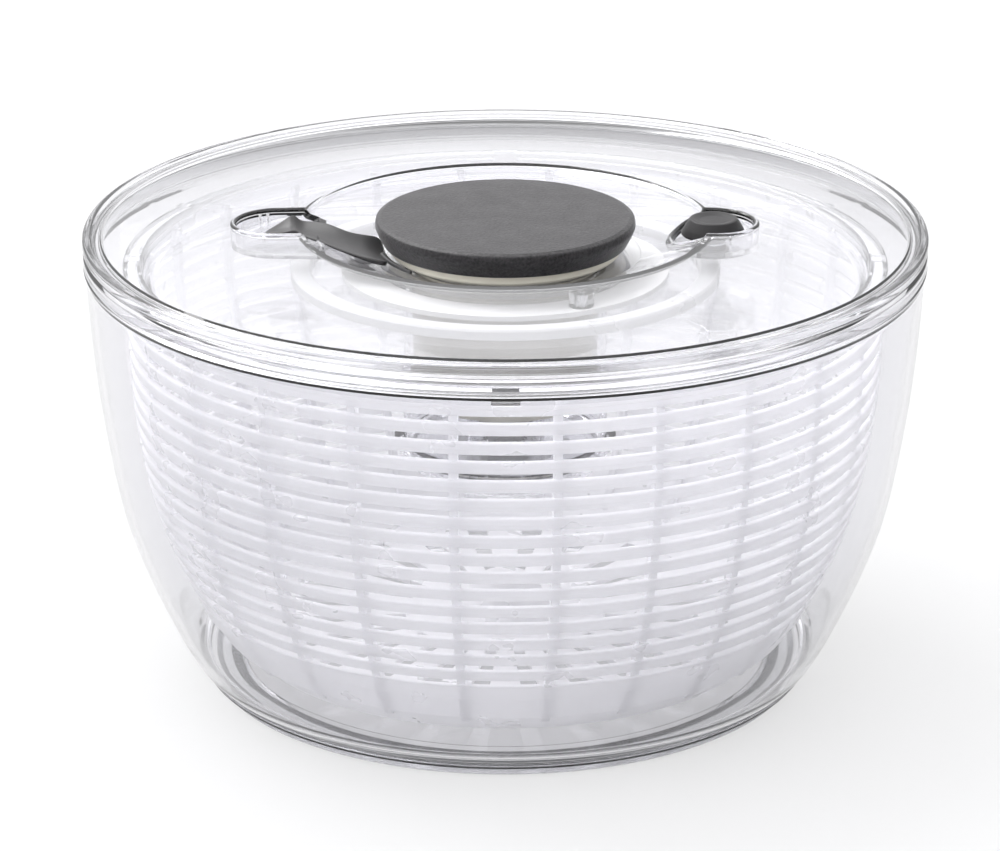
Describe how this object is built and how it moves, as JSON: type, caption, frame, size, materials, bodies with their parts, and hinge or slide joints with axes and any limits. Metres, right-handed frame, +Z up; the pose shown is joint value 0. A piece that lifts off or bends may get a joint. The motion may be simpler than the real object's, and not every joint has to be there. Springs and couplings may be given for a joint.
{
  "type": "salad spinner",
  "caption": "Clear salad spinner with a slatted basket, a push-knob drive in its lid, a knob lock lever and a brake button.",
  "frame": {"origin": "on the turning axis, at the underside of the non-slip ring that the bowl stands on", "axes": "+Z up along the turning axis, the lock lever towards -X, the brake button towards +X"},
  "size_m": [0.27, 0.27, 0.152],
  "materials": {
    "clear_plastic": "clear gloss",
    "soft_clear": "clear satin",
    "frosted_plastic": "frosted",
    "translucent_white": "frosted",
    "white_plastic": "satin",
    "cream_plastic": "satin gloss",
    "black_soft": "soft-touch matte",
    "brake_rubber": "matte",
    "steel": "satin"
  },
  "bodies": {
    "bowl": {"bowl": "clear_plastic", "nonslip_base_ring": "soft_clear", "pivot_pin": "steel"},
    "basket": {"basket": "frosted_plastic"},
    "lid": {"lid_cover": "clear_plastic", "bearing_ring": "white_plastic", "bearing_screws": "steel"},
    "plunger": {"knob_cap": "black_soft", "knob_base": "cream_plastic", "plunger_tube": "cream_plastic", "follower_nut": "cream_plastic", "follower_pins": "steel", "return_spring": "steel"},
    "spindle": {"helical_spindle": "white_plastic", "ratchet_wheel": "white_plastic"},
    "rotor": {"drive_disc": "clear_plastic", "drive_cup": "clear_plastic", "drive_cup_base": "clear_plastic", "clutch_cover": "clear_plastic", "brake_track": "translucent_white", "retaining_clip": "steel", "ratchet_pawls": "white_plastic", "thrust_washer": "steel", "spring_seat": "steel"},
    "lock_lever": {"lock_lever": "black_soft"},
    "brake": {"brake_button": "black_soft", "brake_stem": "translucent_white", "brake_pad": "brake_rubber", "brake_spring": "steel"}
  },
  "joints": [
    {"name": "basket_spin", "type": "hinge", "parent": "bowl", "child": "basket", "pos_m": [0, 0, 0.024], "axis": [0, 0, 1], "continuous": true},
    {"name": "lid_lift", "type": "slide", "parent": "bowl", "child": "lid", "axis": [0, 0, 1], "range_m": [0, 0.1]},
    {"name": "knob_slide", "type": "slide", "parent": "lid", "child": "plunger", "axis": [0, 0, 1], "range_m": [0, 0.042], "deforming": ["return_spring"]},
    {"name": "spindle_turn", "type": "hinge", "parent": "lid", "child": "spindle", "pos_m": [0, 0, 0.07], "axis": [0, 0, 1], "range_deg": [-505, 0]},
    {"name": "drive_spin", "type": "hinge", "parent": "lid", "child": "rotor", "pos_m": [0, 0, 0.1335], "axis": [0, 0, 1], "continuous": true},
    {"name": "lock_turn", "type": "hinge", "parent": "lid", "child": "lock_lever", "pos_m": [0, 0, 0.1415], "axis": [0, 0, 1], "range_deg": [-6, 0]},
    {"name": "brake_press", "type": "slide", "parent": "lid", "child": "brake", "axis": [0, 0, -1], "range_m": [0, 0.0028], "stiffness_N_per_m": 400, "deforming": ["brake_spring"]}
  ],
  "couplings": [
    {"joint": "spindle_turn", "follows": "knob_slide", "rad_per_m": -209.44},
    {"joint": "drive_spin", "follows": "basket_spin", "ratio": 1}
  ]
}
